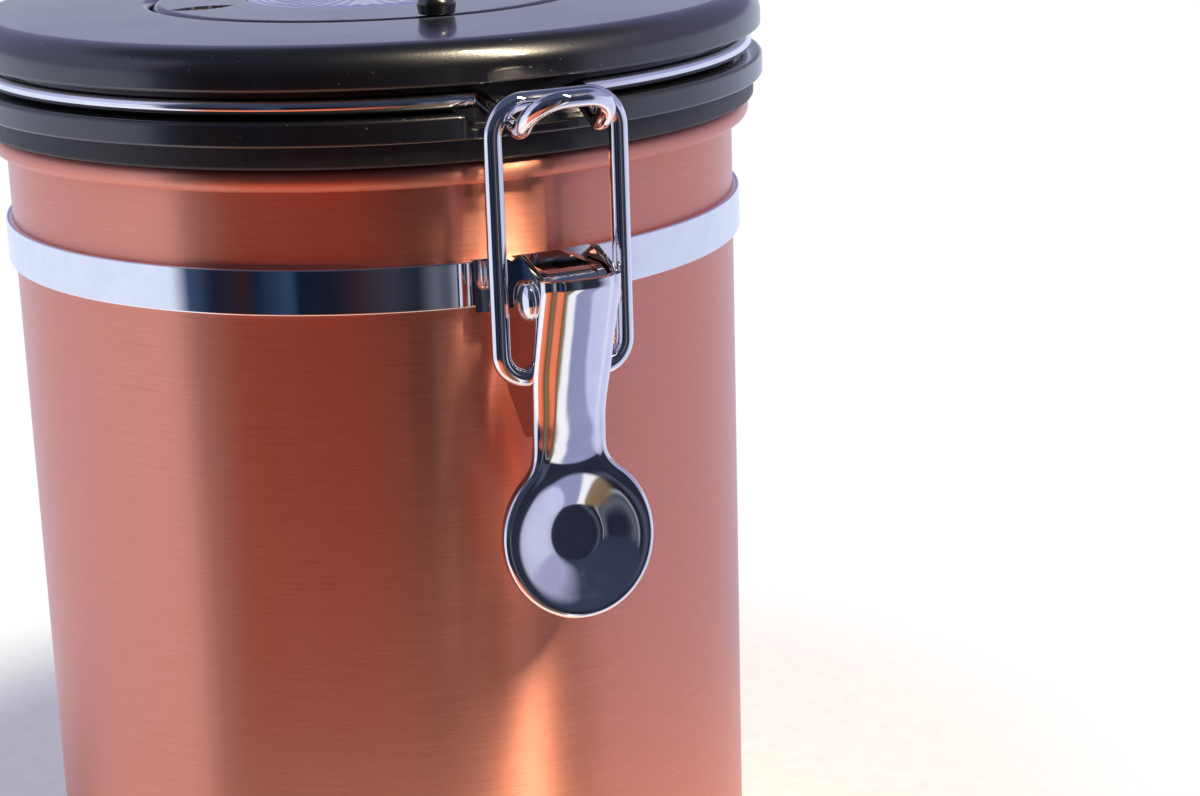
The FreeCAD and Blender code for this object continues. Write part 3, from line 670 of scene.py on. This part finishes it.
def wire(name, path, radius, material, around, cap):
    """A circle carried along the path without twisting, with rounded ends."""
    heading = np.gradient(path, axis=0)
    heading /= np.linalg.norm(heading, axis=1)[:, None]
    side = np.cross(heading[0], [0.31, 0.17, 0.93])
    sides = np.empty_like(path)
    for i, ahead in enumerate(heading):
        side = side - ahead * (side @ ahead)
        side /= np.linalg.norm(side)
        sides[i] = side
    up = np.cross(heading, sides)
    turn = np.arange(around) / around * 2 * math.pi
    reach = cap * radius
    cap_turn = np.linspace(0, math.pi / 2, CAP_STEPS)
    scale = np.concatenate([np.sin(cap_turn), np.ones(len(path)), np.cos(cap_turn)])
    scale[[0, -1]] = CAP_POINT
    head = path[0] - heading[0] * reach * np.cos(cap_turn)[:, None]
    tail = path[-1] + heading[-1] * reach * np.sin(cap_turn)[:, None]
    spine = np.concatenate([head, path, tail])

    def with_caps(across):
        """Rows for the rounded ends, each the same as the wire's first or last row."""
        return np.concatenate([np.repeat(across[:1], CAP_STEPS, 0), across,
                               np.repeat(across[-1:], CAP_STEPS, 0)])

    sides, up = with_caps(sides), with_caps(up)
    ring = (np.cos(turn)[None, :, None] * sides[:, None]
            + np.sin(turn)[None, :, None] * up[:, None])
    points = spine[:, None] + ring * (radius * scale)[:, None, None]
    rows = len(spine)
    faces = [list(f) for f in grid_faces(rows, around, False, True)]
    faces += [list(range(around))[::-1], list(range((rows - 1) * around, rows * around))]
    made = mesh_object(name, points.reshape(-1, 3), faces, None, material)
    clean(made, 1e-8)
    return made


LOOP_HALF_W = 10.0
LOOP_RHO = 70.8
LOOP_TOP_Z = 140.6
LOOP_PIN = (71.0, 100.3)
LOOP_WIRE_R = 1.4


def make_loop():
    """Half the loop runs from its pin out to a leg and up; the other half mirrors it."""
    half = [(4.6, -LOOP_PIN[0], LOOP_PIN[1]), (LOOP_HALF_W, -LOOP_PIN[0], LOOP_PIN[1]),
            (LOOP_HALF_W, -LOOP_RHO, LOOP_TOP_Z)]
    other = [(-x, y, z) for x, y, z in reversed(half)]
    path = even_path(path_through(half + other, [4.0, 5.0, 5.0, 4.0]), 0.35)
    loop = wire("loop", path, LOOP_WIRE_R, steel, around=36, cap=0.15)
    stand_for(loop, "latch_loop", "loop")


make_loop()


# The lid's ring is spring wire: it lies in the lid's groove, turns down behind into the hinge
# bracket, and is bent out and up in front into the catch that the loop pulls on.
RING_R = 62.2
RING_Z = 140.1
RING_WIRE_R = 1.3
RING_LEG_S = 9.5
HINGE = (69.0, 123.0)
CATCH_LEAVE_S = 7.9
CATCH_FOOT = (6.3, 72.5, 136.4)
CATCH_TIP = (6.3, 77.7, 141.4)


def make_ring():
    """Half of the ring is worked out, from its end in the hinge, up the leg, round the groove
    and out to the catch's middle; the other half mirrors it."""
    leg_s = RING_LEG_S
    leave_angle = math.asin((leg_s + 1.6) / RING_R)
    meet_angle = math.pi - math.asin((CATCH_LEAVE_S + 1.6) / RING_R)

    def on_ring(angle):
        """Points of the ring's centre line, angles counted from behind the can."""
        return np.stack([RING_R * np.sin(angle), RING_R * np.cos(angle),
                         np.full_like(np.asarray(angle, float), RING_Z)], -1)

    leave, meet = on_ring(leave_angle), on_ring(meet_angle)
    back_way = np.array([-leave[1], leave[0], 0]) / RING_R
    turn = leave + back_way * (leave[0] - leg_s) / -back_way[0]
    behind = path_through([(4.0, *HINGE), (leg_s, *HINGE), (leg_s, HINGE[0], RING_Z), turn, leave],
                          [2.2, 3.0, 1.8])
    round_way = on_ring(np.linspace(leave_angle, meet_angle, 260))[1:-1]
    ahead = np.array([meet[1], -meet[0], 0]) / RING_R
    first = meet + ahead * (meet[0] - CATCH_LEAVE_S) / -ahead[0]
    hook = [meet, first] + [(s, -rho, z) for s, rho, z in (CATCH_FOOT, CATCH_TIP)]
    hook.append((0, -CATCH_TIP[1], CATCH_TIP[2]))
    front = path_through(hook, [1.6, 2.2, 4.9], spacing=0.3)
    half = np.concatenate([behind, round_way, front])
    full = np.concatenate([half, (half * np.array([-1, 1, 1]))[::-1][1:]])
    ring = wire("ring", even_path(full, 0.5), RING_WIRE_R, steel, around=24, cap=0.15)
    stand_for(ring, "lid_ring", "lid")


make_ring()


# The lid is two glossy black mouldings. The lower one has the clamping flange and the groove
# for the ring; the upper one is the crown.
def gloss_black(name, tone=0.004):
    """Lacquered black plastic: a soft sheen under a clear, slightly wavy skin, and dust."""
    material, tree, shader = new_material(name, (tone, tone, tone * 1.3), 0.0, 0.36)
    shader.inputs["IOR"].default_value = 1.5
    shader.inputs["Specular IOR Level"].default_value = 0.8
    shader.inputs["Coat Weight"].default_value = 0.5
    shader.inputs["Coat Roughness"].default_value = 0.05
    place = node(tree, "ShaderNodeTexCoord").outputs["Object"]
    specks = node(tree, "ShaderNodeTexNoise", {"Vector": place, "Scale": 1300.0, "Detail": 1.0})
    speck = node(tree, "ShaderNodeMapRange", {"Value": specks.outputs["Fac"], "From Min": 0.75,
                 "From Max": 0.82})
    color = node(tree, "ShaderNodeMix", {"Factor": speck.outputs["Result"],
                 "A": (tone, tone, tone * 1.3, 1), "B": (0.10, 0.10, 0.12, 1)}, data_type="RGBA")
    tree.links.new(color.outputs["Result"], shader.inputs["Base Color"])
    haze = node(tree, "ShaderNodeTexNoise", {"Vector": place, "Scale": 45.0, "Detail": 6.0})
    rough = node(tree, "ShaderNodeMapRange", {"Value": haze.outputs["Fac"], "From Min": 0.35,
                 "From Max": 0.75, "To Min": 0.25, "To Max": 0.31})
    tree.links.new(rough.outputs["Result"], shader.inputs["Roughness"])
    grit = node(tree, "ShaderNodeTexNoise", {"Vector": place, "Scale": 2600.0, "Detail": 2.0})
    fine = node(tree, "ShaderNodeBump", {"Height": grit.outputs["Fac"], "Strength": 0.5,
                "Distance": 0.00003})
    tree.links.new(fine.outputs[0], shader.inputs["Normal"])
    wave = node(tree, "ShaderNodeTexNoise", {"Vector": place, "Scale": 38.0, "Detail": 1.0})
    bump = node(tree, "ShaderNodeBump", {"Height": wave.outputs["Fac"], "Strength": 0.08,
                "Distance": 0.0004})
    tree.links.new(bump.outputs[0], shader.inputs["Coat Normal"])
    return material


black = gloss_black("gloss_black")
GASKET_R = 63.7
GASKET_Z = (131.1, 134.6)
FLANGE_R = 65.2
GROOVE_R = 60.6
COVER_EDGE = 142.5
LID_TOP = 148.8
FLANGE_TOP = 138.3
NOTCH_FLOOR = 136.2
NOTCH_HALF_W = 10.4


def make_lid_base():
    """A plate, a skirt inside the can, the flange and the groove's wall, turned in one."""
    profile = rounded([(9.0, 133.0), (55.6, 133.0, 0.4), (55.6, 127.6, 0.5), (57.4, 127.6, 0.5),
                       (57.4, GASKET_Z[1]), (FLANGE_R, GASKET_Z[1], 0.45),
                       (FLANGE_R, FLANGE_TOP, 0.6), (GROOVE_R, FLANGE_TOP, 0.3), (GROOVE_R, 145.9),
                       (58.4, 145.9), (58.4, 135.2, 0.5), (9.0, 135.2)])
    base = lathe("lid_base", profile, black, around=512)
    notch_flange(base)
    stand_for(base, "lid_base", "lid")


def notch_flange(base):
    """The flange's top is lower under the catch: its points sink to the notch's floor."""
    mesh = base.data
    co = np.empty(len(mesh.vertices) * 3)
    mesh.vertices.foreach_get("co", co)
    co = co.reshape(-1, 3) / MM
    radius = np.hypot(co[:, 0], co[:, 1])
    wide = 1 - smoothstep((np.abs(co[:, 0]) - NOTCH_HALF_W) / 0.4)
    near = ((co[:, 1] < 0) & (radius > GROOVE_R - 0.05) & (co[:, 2] > 136.0)
            & (co[:, 2] < 139.0))
    floor = NOTCH_FLOOR - (FLANGE_TOP - co[:, 2]) * 0.3
    co[:, 2] = np.where(near, co[:, 2] + (np.minimum(floor, co[:, 2]) - co[:, 2]) * wide, co[:, 2])
    mesh.vertices.foreach_set("co", (co * MM).ravel())
    mesh.update()


def make_cover():
    """A crown with rounded shoulders and a pocket for the dial, turned about the axis."""
    profile = rounded([(6.3, 143.9), (37.6, 143.9, 0.3), (37.6, 146.5, 0.3), (60.65, 146.5, 0.6),
                       (60.65, COVER_EDGE, 0.2), (65.0, COVER_EDGE, 0.6), (65.0, LID_TOP, 4.2),
                       (35.3, LID_TOP, 1.3), (35.3, 146.2, 0.2), (6.3, 146.2)], steps=10)
    cover = lathe("cover", profile, black, around=512)
    stand_for(cover, "lid_cover", "lid")


def rubber():
    """Satin rubber, slightly mottled."""
    material, tree, shader = new_material("seal_rubber", (0.010, 0.010, 0.012), 0.0, 0.42)
    place = node(tree, "ShaderNodeTexCoord").outputs["Object"]
    grain = node(tree, "ShaderNodeTexNoise", {"Vector": place, "Scale": 700.0, "Detail": 4.0})
    tint = ramp(tree, grain.outputs["Fac"], [(0.3, (0.007, 0.007, 0.009)),
                (0.75, (0.016, 0.016, 0.019))])
    tree.links.new(tint.outputs["Color"], shader.inputs["Base Color"])
    rough = node(tree, "ShaderNodeMapRange", {"Value": grain.outputs["Fac"], "To Min": 0.33,
                 "To Max": 0.55})
    tree.links.new(rough.outputs["Result"], shader.inputs["Roughness"])
    bump = node(tree, "ShaderNodeBump", {"Height": grain.outputs["Fac"], "Strength": 0.15,
                "Distance": 0.0001})
    tree.links.new(bump.outputs[0], shader.inputs["Normal"])
    return material


def make_gasket():
    """A flat ring with rounded outer corners, turned about the axis."""
    low, high = GASKET_Z
    profile = rounded([(57.5, low, 0.2), (GASKET_R, low, 0.6), (GASKET_R, high, 0.3),
                       (57.5, high)])
    gasket = lathe("gasket", profile, rubber(), around=512)
    stand_for(gasket, "lid_gasket", "lid")


make_lid_base()
make_cover()
make_gasket()


# The date dial is a black disc flush with the crown, turned by a round knob over its edge. A
# bright embossed disc is let into its middle.
DIAL_R = 34.9
BADGE_R = 19.4
BADGE_HOLE_R = 19.6
BADGE_FACE = 148.75
BADGE_UNDER = 148.0
DIMPLE_R = 28.4
DIMPLE_TURN = -89.0
DIMPLE_HALF = (5.6, 2.1)
DIMPLE_DEPTH = 1.0
KNOB_TURN = -3.4


def polar(radius, degrees):
    """A place at a radius, degrees round from the latch side."""
    angle = math.radians(degrees)
    return np.array([radius * math.sin(angle), -radius * math.cos(angle), 0.0])


def make_dial():
    """The disc's top sinks into the finger dimple, a pointed leaf that lies along the radius:
    its half width is an ellipse's, and its depth is a smooth step of one minus the squares."""
    radii = np.concatenate([np.linspace(BADGE_HOLE_R, 33.6, 96),
                            [33.9, 34.2, 34.45, 34.68, 34.83, DIAL_R]])
    drop = np.concatenate([np.zeros(96), [0.03, 0.13, 0.30, 0.58, 0.90, 1.3]])
    around = 512
    turns = np.arange(around) / around * 2 * math.pi
    x = np.sin(turns)[:, None] * radii
    y = -np.cos(turns)[:, None] * radii
    middle = polar(DIMPLE_R, DIMPLE_TURN)
    tilt = math.radians(DIMPLE_TURN - 90)
    long_half, short_half = DIMPLE_HALF
    along = (x - middle[0]) * math.cos(tilt) + (y - middle[1]) * math.sin(tilt)
    cross = -(x - middle[0]) * math.sin(tilt) + (y - middle[1]) * math.cos(tilt)
    leaf = short_half * np.sqrt(np.clip(1 - (along / long_half) ** 2, 1e-4, 1))
    inside = 1 - (along / long_half) ** 2 - (cross / leaf) ** 2
    z = LID_TOP - drop - DIMPLE_DEPTH * smoothstep(inside * 1.3)
    top = np.stack([x, y, z], -1)
    pocket_floor = [(0, LID_TOP - 0.8), (BADGE_HOLE_R, LID_TOP - 0.8)]
    lower = [(DIAL_R, 146.4), (6.0, 146.4), (6.0, 142.4), (0.0, 142.4)]

    def circle(radius, height):
        """Points round the axis at one radius and height."""
        return np.stack([np.sin(turns) * radius, -np.cos(turns) * radius,
                         np.full(around, height)], -1)

    columns = [circle(*spot) for spot in pocket_floor]
    columns += [top[:, k] for k in range(top.shape[1])]
    columns += [circle(*spot) for spot in lower]
    points = np.stack(columns, 1)
    faces = grid_faces(around, points.shape[1], True, False)
    dial = mesh_object("dial", points.reshape(-1, 3), faces, None, gloss_black("dial_black"))
    clean(dial, 1e-6)
    dial.data.set_sharp_from_angle(angle=math.radians(40))
    stand_for(dial, "date_dial", "dial")


def make_knob():
    """A round button with a domed top, its sides leaning in slightly."""
    centre = polar(34.4, KNOB_TURN)
    corners = rounded([(0.0, 149.1), (2.8, 149.1, 0.3), (3.1, 151.0, 1.2), (2.2, 152.3, 1.3),
                       (0.0, 152.3)], closed=False, steps=8)
    knob = lathe("dial_knob", corners, gloss_black("knob_black"), around=64, closed=False)
    knob.data.transform(Matrix.Translation(Vector(centre * MM)))
    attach(knob, "dial")


def make_badge():
    """Pressed foil: raised rings near the edge and a sunburst of short rays inside them."""
    around = 720
    radii = np.concatenate([np.linspace(0, 18.9, 190), [19.1, 19.25, 19.35, BADGE_R]])
    turns = np.arange(around) / around * 2 * math.pi
    r = radii[None]
    a = turns[:, None]
    ring = 0.10 * (np.exp(-((r - 17.6) / 0.35) ** 2) + np.exp(-((r - 16.4) / 0.25) ** 2)
                   + np.exp(-((r - 7.0) / 0.30) ** 2))
    rays = 0.09 * smoothstep(0.5 + 1.6 * np.sin(36 * a)) * smoothstep((r - 8.2) / 0.5) \
        * smoothstep((15.4 - r) / 0.5)
    boss = 0.10 * smoothstep((5.2 - r) / 1.2)
    drop = np.concatenate([np.zeros(190), [0.03, 0.09, 0.18, 0.30]])
    z = BADGE_FACE + ring + rays + boss - drop
    points = np.stack([np.sin(a) * r, -np.cos(a) * r, z], -1)
    under = np.full(around, BADGE_UNDER)
    low = np.stack([np.sin(turns) * BADGE_R, -np.cos(turns) * BADGE_R, under], -1)
    centre = np.stack([np.zeros(around), np.zeros(around), under], -1)
    points = np.concatenate([points, low[:, None], centre[:, None]], 1)
    faces = grid_faces(around, points.shape[1], True, False)
    material, tree, shader = new_material("badge_foil", (0.86, 0.87, 0.90), 1.0, 0.18)
    place = node(tree, "ShaderNodeTexCoord").outputs["Object"]
    grain = node(tree, "ShaderNodeTexNoise", {"Vector": place, "Scale": 1500.0, "Detail": 3.0})
    rough = node(tree, "ShaderNodeMapRange", {"Value": grain.outputs["Fac"], "To Min": 0.12,
                 "To Max": 0.30})
    tree.links.new(rough.outputs["Result"], shader.inputs["Roughness"])
    badge = mesh_object("badge", points.reshape(-1, 3), faces, None, material)
    clean(badge, 1e-6)
    stand_for(badge, "dial_badge", "dial")


make_dial()
make_knob()
make_badge()

# The pressed and turned pieces under the latch, the foot and the valve keep their shape and get
# finishes of their own: brushed plain steel, moulded black plastic, soft silicone, felt.
def grained(name, low, high, metallic, roughness, scale, bump_height, stretch=(1, 1, 1)):
    """One noise drives the colour between low and high, the roughness range and the bump."""
    material, tree, shader = new_material(name, low, metallic, roughness[0])
    place = node(tree, "ShaderNodeTexCoord").outputs["Object"]
    laid = node(tree, "ShaderNodeMapping", {"Vector": place, "Scale": stretch})
    grain = node(tree, "ShaderNodeTexNoise", {"Vector": laid.outputs["Vector"], "Scale": scale,
                 "Detail": 5.0, "Roughness": 0.6})
    tint = ramp(tree, grain.outputs["Fac"], [(0.3, low), (0.7, high)])
    tree.links.new(tint.outputs["Color"], shader.inputs["Base Color"])
    rough = node(tree, "ShaderNodeMapRange", {"Value": grain.outputs["Fac"], "From Min": 0.3,
                 "From Max": 0.7, "To Min": roughness[0], "To Max": roughness[1]})
    tree.links.new(rough.outputs["Result"], shader.inputs["Roughness"])
    bump = node(tree, "ShaderNodeBump", {"Height": grain.outputs["Fac"], "Strength": 0.4,
                "Distance": bump_height})
    tree.links.new(bump.outputs[0], shader.inputs["Normal"])
    return material


def finish_small_pieces():
    """Each CAD node listed here gets a finish: the brackets the bright steel, the rest one of the
    grained finishes.
    """
    foot = grained("foot_steel", (0.50, 0.50, 0.51), (0.62, 0.62, 0.63), 1.0, (0.22, 0.36),
                   260.0, 0.00003, (1, 14, 1))
    screws = grained("screw_steel", (0.55, 0.54, 0.52), (0.70, 0.69, 0.67), 1.0,
                     (0.20, 0.34), 900.0, 0.00003)
    spring = grained("spring_steel", (0.44, 0.44, 0.46), (0.58, 0.58, 0.60), 1.0,
                     (0.18, 0.30), 500.0, 0.00002, (12, 1, 1))
    plastic = grained("valve_plastic", (0.016, 0.016, 0.018), (0.030, 0.030, 0.033), 0.0,
                      (0.38, 0.55), 900.0, 0.00005)
    silicone = grained("valve_silicone", (0.62, 0.63, 0.62), (0.72, 0.72, 0.70), 0.0,
                       (0.40, 0.52), 600.0, 0.00003)
    skin = silicone.node_tree.nodes["Principled BSDF"]
    skin.inputs["Subsurface Weight"].default_value = 0.3
    skin.inputs["Subsurface Scale"].default_value = 0.001
    felt = grained("filter_felt", (0.60, 0.59, 0.55), (0.82, 0.81, 0.77), 0.0, (0.85, 0.98),
                   1600.0, 0.0002)
    finishes = {"latch_bracket": steel, "hinge_bracket": steel, "base_disc": foot,
                "lid_screws": screws, "dial_retainer": spring, "valve_body": plastic,
                "valve_cap": plastic, "valve_grille": plastic, "valve_flap": silicone,
                "valve_filter": felt}
    for name, finish in finishes.items():
        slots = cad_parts[name].data.materials
        slots.clear()
        slots.append(finish)


finish_small_pieces()
